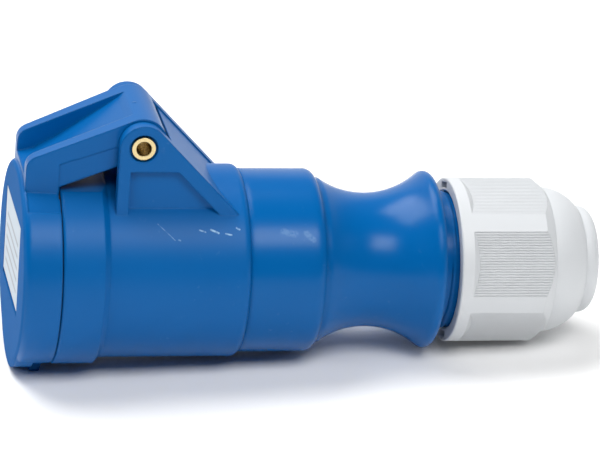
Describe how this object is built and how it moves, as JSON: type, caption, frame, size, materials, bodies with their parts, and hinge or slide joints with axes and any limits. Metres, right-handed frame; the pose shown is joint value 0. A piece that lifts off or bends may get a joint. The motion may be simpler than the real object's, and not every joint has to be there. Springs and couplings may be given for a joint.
{
  "type": "cable coupler",
  "caption": "Round industrial cable coupler with a sprung lid over its socket, hinge ears, a waisted handle and a screwed cable gland.",
  "frame": {"origin": "centre of the contact carrier's front face, on the coupler's axis, in the plane of the socket's mouth", "axes": "+X along the axis from the socket's mouth to the cable end, +Z towards the lid's hinge, +Y completes the right-handed frame"},
  "size_m": [0.1645, 0.057, 0.0773],
  "materials": {
    "blue_plastic": "satin",
    "grey_plastic": "satin",
    "black_plastic": "matte",
    "black_rubber": "matte",
    "label": "satin",
    "pin_brass": "satin",
    "contact_brass": "satin",
    "steel": "satin"
  },
  "bodies": {
    "coupler": {"front_housing": "blue_plastic", "contact_carrier": "black_plastic", "carrier_plate": "black_plastic", "carrier_screw_near": "steel", "carrier_screw_far": "steel", "contact_live": "contact_brass", "contact_neutral": "contact_brass", "contact_earth": "contact_brass", "terminal_screw_live": "steel", "terminal_screw_neutral": "steel", "terminal_screw_earth": "steel", "handle": "blue_plastic", "handle_seal": "black_rubber", "hinge_pin": "pin_brass", "lid_spring": "steel", "clamping_cage": "black_plastic", "gland_seal": "black_rubber"},
    "lid": {"lid": "blue_plastic", "lid_gasket": "black_rubber", "lid_label": "label"},
    "thrust_ring": {"thrust_ring": "grey_plastic"},
    "nut": {"gland_nut": "grey_plastic"}
  },
  "joints": [
    {"name": "lid_hinge", "type": "hinge", "parent": "coupler", "child": "lid", "pos_m": [0.0212, 0, 0.04], "axis": [0, 1, 0], "range_deg": [0, 135], "stiffness_Nm_per_rad": 0.09, "springref_deg": -91.67, "deforming": ["lid_spring"]},
    {"name": "thrust_slide", "type": "slide", "parent": "coupler", "child": "thrust_ring", "axis": [1, 0, 0], "range_m": [0, 0.0121]},
    {"name": "nut_turn", "type": "hinge", "parent": "thrust_ring", "child": "nut", "pos_m": [0.12, 0, 0], "axis": [1, 0, 0], "range_deg": [0, 1440]}
  ],
  "couplings": [
    {"joint": "thrust_slide", "follows": "nut_turn", "m_per_rad": 0.00047746}
  ]
}
